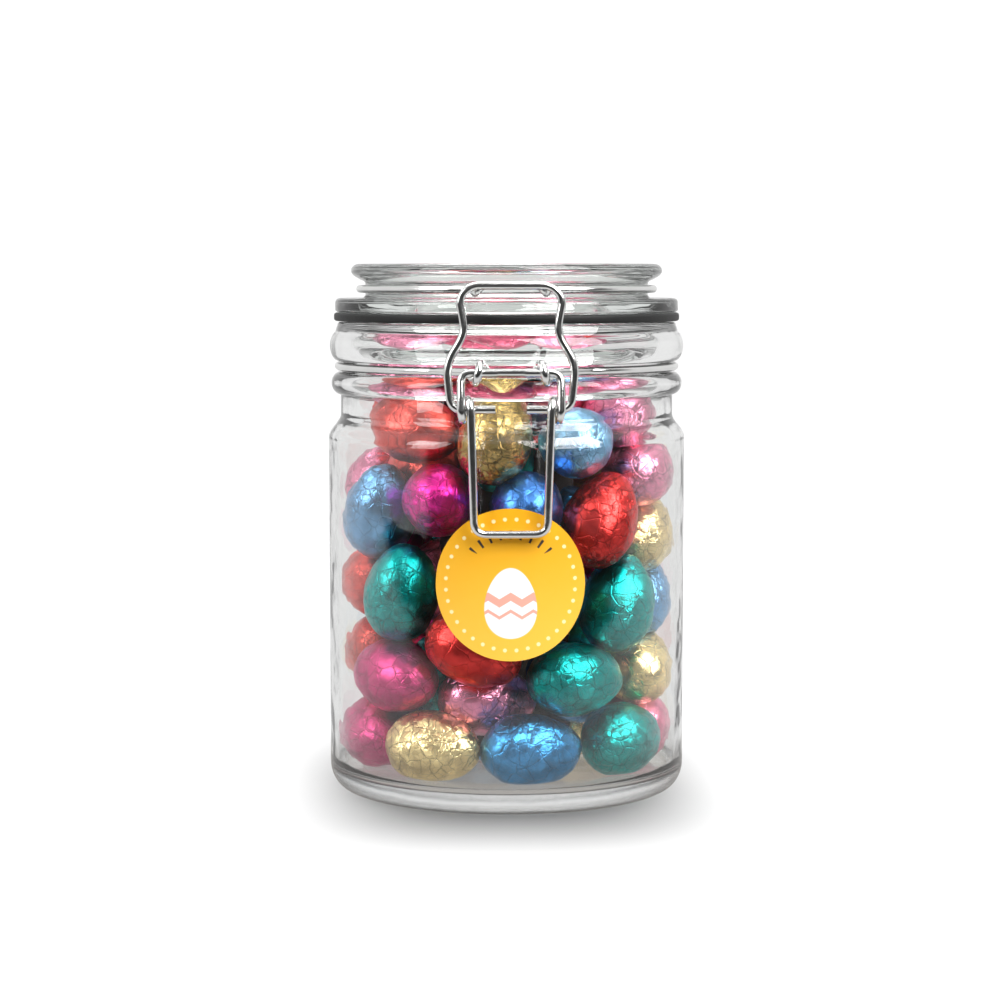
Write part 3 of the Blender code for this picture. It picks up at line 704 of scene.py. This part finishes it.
# the eggs seen at the front: degrees round, height, lean from level, depth in, swing end-on, foil
frontEggs = [
    (-77, 16.0, 0, 0, 0, "dullMagenta"), (-32.5, 15.8, -4, 0, 0, "gold"), (9, 15.7, 3, 0, 0, "blue"),
    (57, 15.9, 8, 0, 0, "teal"), (96, 15.9, 0, 0, 0, "pink"), (-53.8, 33.8, -8, 0, 0, "dullMagenta"),
    (-96, 37.5, 20, 1, 0, "coral"), (-15.2, 43, -25, 1, 0, "red"), (-14, 27, 0, 9, 40, "mauve"),
    (28.5, 34.7, 0, 0, 0, "teal"), (85, 35, 30, 0, 0, "gold"), (-50.4, 57.5, 78, 0, 0, "teal"),
    (52.3, 54.3, 70, 0, 0, "teal"), (93, 54, 60, 0, 0, "steelBlue"), (4, 61.5, 10, 3, 0, "gold"),
    (-68.5, 79.4, 72, 0, 0, "steelBlue"), (-33.5, 83.5, 10, 0, -57, "magenta"),
    (8.5, 81.5, 0, 3, 80, "deepBlue"), (41, 77.8, 65, 0, 0, "red"), (88, 72, 40, 0, 0, "gold"),
    (-52, 101.5, -4, 2.5, 20, "coral"), (-6, 101, 80, 2, 0, "shadedGold"),
    (37, 99.3, 8, 2.5, 60, "paleBlue"), (74, 104.5, 0, 0, 15, "mauve"),
    (80, 90.8, 10, 0, 0, "mauve"), (-74, 91, 20, 13, 0, "coral"),
]
restOfFoils = ["red", "gold", "teal", "mauve", "blue", "magenta", "steelBlue", "coral"]
# the last few, heaped up in the neck, and the foils of the course below them
crownEggs = [
    (10, 117.0, 5, 20, 0, "shadedPink"), (82, 116.5, 12, 8, 20, "pink"),
    (-76, 116.0, -10, 8, -20, "mauve"), (205, 117.0, 0, 12, 0, "shadedPink"),
    (140, 116.0, 15, 8, 30, "mauve"),
]
topFoils = ["red", "teal", "shadedPink", "red", "mauve", "teal", "red"]


def wallReach(height):
    g = jarGlass
    part = np.clip((height - g["innerShoulderZ"]) / (g["innerNeckZ"] - g["innerShoulderZ"]), 0, 1)
    return g["innerR"] + (g["innerNeckR"] - g["innerR"]) * part * part * (3 - 2 * part)


def eggStart(turn, height, lean, depth, swing=0):
    turn, lean, swing = (math.radians(angle) for angle in (turn, lean, swing))
    reach = eggs["halfLength"] - eggs["r"]
    radius = wallReach(height) - eggs["r"] - eggs["wallGap"] - depth - reach * abs(math.sin(swing))
    middle = np.array([radius * math.sin(turn), -radius * math.cos(turn), height])
    level = math.cos(lean)
    along = np.array([math.cos(turn + swing) * level, math.sin(turn + swing) * level, math.sin(lean)])
    return np.array([middle - along * reach, middle + along * reach])


def eggPlaces():
    g = eggs
    rng = np.random.default_rng(g["seed"])
    ends = [eggStart(*egg[:5]) for egg in frontEggs]
    held = len(ends)

    def spread(most):
        return rng.uniform(-most, most)

    for course in range(g["courses"]):
        height = jarGlass["floorZ"] + g["r"] + course * g["courseH"]
        for turn in g["backTurns"]:
            turn += g["courseTurn"] * (-1) ** course + spread(g["backSpread"])
            lifted = height + spread(g["liftSpread"])
            ends.append(eggStart(turn, lifted, spread(g["backLean"]), 0))
        for index in range(g["inside"]):
            turn = 360 / g["inside"] * index + g["insideTurn"] * course
            turn += spread(g["insideSpread"])
            lifted = height + spread(g["liftSpread"])
            ends.append(eggStart(turn, lifted, spread(g["insideLean"]), g["insideDepth"]))
    ends += [eggStart(*egg[:5]) for egg in crownEggs]
    ends = np.array(ends)
    anchor = ends[:held].copy()
    reach = g["halfLength"] - g["r"]
    near = 2 * g["r"] - g["press"]
    # each egg is three balls in a row; those of other eggs push it off, while it sinks at first and
    # the front ones are held near their places
    for step in range(g["settleSteps"]):
        middle = ends.mean(axis=1, keepdims=True)
        balls = np.concatenate([ends[:, :1], middle, ends[:, 1:]], axis=1).reshape(-1, 3)
        owner = np.repeat(np.arange(len(ends)), 3)
        apart = balls[:, None] - balls[None]
        far = np.linalg.norm(apart, axis=2) + 1e-6
        overlap = np.clip(near - far, 0, None) * (owner[:, None] != owner[None])
        push = (apart / far[..., None] * overlap[..., None]).sum(axis=1) * g["push"]
        push = push.reshape(-1, 3, 3)
        ends[:, 0] += push[:, 0] + push[:, 1] * 0.5
        ends[:, 1] += push[:, 2] + push[:, 1] * 0.5
        ends[..., 2] -= g["sink"] * (step < g["settleSteps"] / 2)
        ends[:held] += (anchor - ends[:held]) * g["hold"]
        out = np.hypot(ends[..., 0], ends[..., 1])
        limit = wallReach(ends[..., 2] + g["r"] * 0.5) - g["r"] - g["wallGap"]
        ends[..., :2] *= np.minimum(1, limit / out)[..., None]
        lowest = jarGlass["floorZ"] + g["r"] + g["floorGap"]
        ends[..., 2] = np.clip(ends[..., 2], lowest, g["heapTop"] - g["r"])
        middle = ends.mean(axis=1)
        along = ends[:, 1] - ends[:, 0]
        along *= reach / np.linalg.norm(along, axis=1)[:, None]
        ends = np.stack([middle - along, middle + along], axis=1)
    return ends


# broad flats that meet in long creases, small ones where the foil is gathered, pleats at the tips
foilCreases = {
    "wanderScale": 160, "wander": 0.0030, "patchScale": 62, "patch": (0.36, 0.56), "endPower": 5.0,
    "flatScale": 230, "flat": 0.13, "crease": 0.06, "creaseW": 0.055,
    "smallScale": 640, "small": 0.38, "crinkle": 0.03, "crinkleW": 0.10,
    "crumpleScale": 560, "crumple": 0.30, "pleatScale": (64, 5, 1), "pleat": 0.30,
    "swellScale": 150, "swell": 0.15, "depth": 0.001,
    # deep and pale vary the foil's tone at random; dark and the three shares below set the painted
    # shade along the creases
    "shadeScale": 210, "deep": 0.75, "pale": 1.10, "paler": 0.01, "dark": 0.25,
    "creaseShadeShare": 0.15, "busyShadeShare": 0.45, "crinkleShadeShare": 0.35,
    "dullScale": 60, "dull": 0.04, "dullMore": 0.08, "coat": 0.12, "coatRough": 0.22,
}


def foilFinish(name, given):
    g = foilCreases
    made = Finish(name)
    place = made.place()
    _, along, _ = made.split(made.uv())
    swirl = made.noise(place, g["wanderScale"], 2.0, 0.5, "Color")
    place = made.vector("ADD", place, made.vector("SCALE", swirl, scale=g["wander"]))
    ends = (abs(along - 0.5) * 2.0).power(g["endPower"])
    patches = made.noise(place, g["patchScale"], 1.0, 0.5).ramp(*g["patch"])
    busy = (patches * given["crinkle"] + ends).low(1.0)
    flats = made.facets(place, g["flatScale"]) * 1000
    small = made.facets(place, g["smallScale"]) * 1000
    crease = made.cells(place, g["flatScale"], "DISTANCE_TO_EDGE").ramp(0.0, g["creaseW"])
    crinkle = made.cells(place, g["smallScale"], "DISTANCE_TO_EDGE").ramp(0.0, g["crinkleW"])
    crumple = abs(made.noise(place, g["crumpleScale"], 3.0, 0.6) - 0.5)
    pleats = made.noise(made.vector("MULTIPLY", made.uv(), g["pleatScale"]), 1.0, 2.0, 0.6)
    swell = made.noise(place, g["swellScale"], 1.0, 0.4)
    gathered = small * g["small"] + crinkle * g["crinkle"] + crumple * g["crumple"]
    height = swell * g["swell"] + flats * g["flat"] + crease * g["crease"]
    height = height + busy * gathered + pleats * ends * g["pleat"]
    base = given["base"]
    deep = (*[value * g["deep"] for value in base], 1)
    pale = (*[min(1.0, value * g["pale"] + g["paler"]) for value in base], 1)
    # the foil's colour in its painted crease shade
    dark = (*[value * g["dark"] for value in base], 1)
    shade = made.mix(made.noise(place, g["shadeScale"], 2.0, 0.5).ramp(0.3, 0.7), deep, pale)
    # painted shade: the creases and small crinkles are painted darker, most where the foil is
    # crinkled
    paintedCreaseShade = (1 - crease) * (g["creaseShadeShare"] + busy * g["busyShadeShare"])
    paintedCreaseShade = paintedCreaseShade + (1 - crinkle) * busy * g["crinkleShadeShare"]
    dull = made.noise(place, g["dullScale"], 1.0, 0.5) * g["dullMore"]
    made.set(Base_Color=made.mix(paintedCreaseShade.low(1.0), shade, dark), Metallic=1.0,
             Roughness=given["rough"] + g["dull"] + dull,
             Coat_Weight=g["coat"], Coat_Roughness=g["coatRough"])
    made.set(Normal=made.bump(height, 1.0, g["depth"]))
    return made.material


def eggMesh(name, start, end, seed):
    g = eggs
    deselectAll()
    bpy.ops.mesh.primitive_uv_sphere_add(segments=g["around"], ring_count=g["along"], radius=1)
    piece = bpy.context.object
    piece.name = name
    along = Vector(end - start)
    place = Matrix.Translation(Vector((start + end) / 2) * mm)
    place = place @ along.to_track_quat("Z", "Y").to_matrix().to_4x4()
    shift = Vector([seed * part for part in g["dentShift"]])
    for vert in piece.data.vertices:
        way = vert.co.normalized()
        wide = g["r"] * (1 - g["blunt"] * vert.co.z)
        body = Vector((vert.co.x * wide, vert.co.y * wide, vert.co.z * g["halfLength"]))
        dent = noise.noise(way * g["dentScale"] + shift) * g["dent"]
        dent += noise.noise(way * g["fineScale"] + shift) * g["fineDent"]
        body += way * min(dent, g["dentMost"])
        vert.co = place @ (body * mm)
    return piece


def makeEggs():
    wrapped = {name: [] for name in foils}
    places = eggPlaces()
    for index, (start, end) in enumerate(places):
        last = len(places) - len(crownEggs) - index
        if index < len(frontEggs):
            foil = frontEggs[index][5]
        elif last <= 0:
            foil = crownEggs[-last][5]
        elif last <= len(topFoils):
            foil = topFoils[-last]
        else:
            foil = restOfFoils[(index * 3 + index // 7) % len(restOfFoils)]
        wrapped[foil].append(eggMesh("egg.%03d" % index, start, end, index))
    for foil, pieces in wrapped.items():
        if not pieces:
            continue
        deselectAll()
        for piece in pieces:
            piece.select_set(True)
        bpy.context.view_layer.objects.active = pieces[0]
        bpy.ops.object.join()
        heap = bpy.context.object
        heap.name = foil + "Eggs"
        settle(heap, 60)
        dress(heap, foilFinish(foil + "Foil", foils[foil]))
        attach(heap, "jar")
        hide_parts("eggs")


makeEggs()

# a dark middle for the heap, deep behind its outer eggs: painted shade, a dark solid standing in for
# the shade between the deeper eggs
core = {
    "r": 19.0, "lowZ": 10.0, "highZ": 97.0, "edge": 3, "turns": 24,
    "shadeBrown": (0.012, 0.006, 0.005, 1), "paler": (0.03, 0.017, 0.013, 1), "speck": 120, "rough": 0.8,
}


def makeCore():
    g = core
    small, low, high = g["r"] - g["edge"], g["lowZ"] + g["edge"], g["highZ"] - g["edge"]
    outline = [(0, g["lowZ"]), (small, g["lowZ"]), (g["r"], low), (g["r"], high),
               (small, g["highZ"]), (0, g["highZ"])]
    piece = lathe("heapShadeCore", outline, g["turns"])
    settle(piece)
    made = Finish("shadedCore")
    speck = made.noise(made.place(), g["speck"], 3.0, 0.6)
    made.set(Base_Color=made.mix(speck, g["shadeBrown"], g["paler"]), Roughness=g["rough"])
    dress(piece, made.material)
    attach(piece, "jar")
    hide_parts("eggs")


makeCore()

print("stage: floor and light")

# distances in metres, turns in radians round to the right of the camera
studio = {
    "floor": (0.10, 0.10, 0.10, 1), "floorSize": 16, "floorDrop": 0.0002, "floorRough": 0.6,
    "white": (0.97, 0.97, 0.97, 1), "shade": (0.045, 0.045, 0.045, 1), "shadeFrom": 0.036,
    "shadeTo": 0.110, "shadeNarrow": 1.56, "shadeSquare": 3.0,
    # under and around colour the floor's painted reflection, with painted shade under and near the
    # jar
    "under": (0.42, 0.40, 0.38, 1), "around": (0.80, 0.80, 0.80, 1), "underFrom": 0.045,
    "underTo": 0.11, "unlit": (0.03, 0.03, 0.03, 1), "unlitFrom": 0.15, "unlitTo": 0.28,
    "wall": 0.85, "seen": 1.1, "dark": 0.09, "darkFrom": -0.94, "fromEdge": 0.05,
    "darkTo": 1.52, "toEdge": 0.15, "darkUp": (0.70, 0.85), "lampsAim": (0, 0, 0.07),
    # place, width and height, then watts
    "lamps": {
        "softboxRight": ((0.50, -0.56, 0.71), (0.75, 0.75), 17),
        "softboxLeft": ((-0.62, -0.40, 0.45), (0.30, 0.50), 3),
        "softboxTop": ((-0.1, 0.25, 0.95), (0.7, 0.7), 6),
    },
}


def makeFloor():
    g = studio
    deselectAll()
    bpy.ops.mesh.primitive_plane_add(size=g["floorSize"], location=(0, 0, -g["floorDrop"]))
    floor = bpy.context.object
    floor.name = "floor"
    made = Finish("paleFloor")
    place = made.place()
    across, deep, _ = made.split(place)
    # the soft shadow round the foot reaches further forward than sideways
    square = g["shadeSquare"]
    wide = abs(across * g["shadeNarrow"]).power(square)
    ahead = abs(deep).power(square)
    shadow = (wide + ahead).power(1 / square).ramp(g["shadeFrom"], g["shadeTo"])
    made.set(Base_Color=g["floor"], Roughness=g["floorRough"], Specular_IOR_Level=0.0)
    made.set(Emission_Color=made.mix(shadow, g["shade"], g["white"]), Emission_Strength=1.0)
    # in the glass, wires and foil the sheet shows a painted reflection: painted shade under the jar,
    # lit round it and unlit in front of it
    away = made.node("ShaderNodeVectorMath", {"operation": "LENGTH"}, [place], "Value")
    near = made.mix(away.ramp(g["underFrom"], g["underTo"]), g["under"], g["around"])
    lit = made.mix((-deep).ramp(g["unlitFrom"], g["unlitTo"]), near, g["unlit"])
    reflection = made.node("ShaderNodeEmission", {}, {"Color": lit, "Strength": 1.0})
    direct = made.node("ShaderNodeLightPath", out="Is Camera Ray")
    both = made.node("ShaderNodeMixShader", {}, [direct, reflection, None])
    made.links.new(made.shader.outputs[0], both.socket.node.inputs[2])
    made.links.new(both.socket, made.output.inputs["Surface"])
    dress(floor, made.material)


def makeWorld():
    # white walls all round, but for the dark side of the room where the camera stands
    g = studio
    world = bpy.data.worlds.new("studioWorld")
    bpy.context.scene.world = world
    world.use_nodes = True
    made = Nodes(world.node_tree)
    background = made.nodes["Background"]
    background.inputs["Color"].default_value = (1, 1, 1, 1)
    across, deep, up = made.split(made.node("ShaderNodeTexCoord", out="Generated"))
    turn = across.maths("ARCTAN2", -deep)
    inside = turn.ramp(g["darkFrom"] - g["fromEdge"], g["darkFrom"] + g["fromEdge"])
    inside = inside * (1 - turn.ramp(g["darkTo"] - g["toEdge"], g["darkTo"] + g["toEdge"]))
    inside = inside * (1 - up.ramp(*g["darkUp"]))
    light = g["wall"] - inside * (g["wall"] - g["dark"])
    camera = made.node("ShaderNodeLightPath", out="Is Camera Ray")
    made.plug(light + camera * (g["seen"] - light), background.inputs["Strength"])


def makeLamps():
    for name, (place, size, power) in studio["lamps"].items():
        bpy.ops.object.light_add(type="AREA", location=place)
        lamp = bpy.context.object
        lamp.name = name
        lamp.data.shape = "RECTANGLE"
        lamp.data.size, lamp.data.size_y = size
        lamp.data.energy = power
        aim = Vector(studio["lampsAim"]) - Vector(place)
        lamp.rotation_euler = aim.to_track_quat("-Z", "Y").to_euler()


makeFloor()
makeWorld()
makeLamps()
bpy.context.scene.view_settings.view_transform = "Standard"

print("stage: finish")
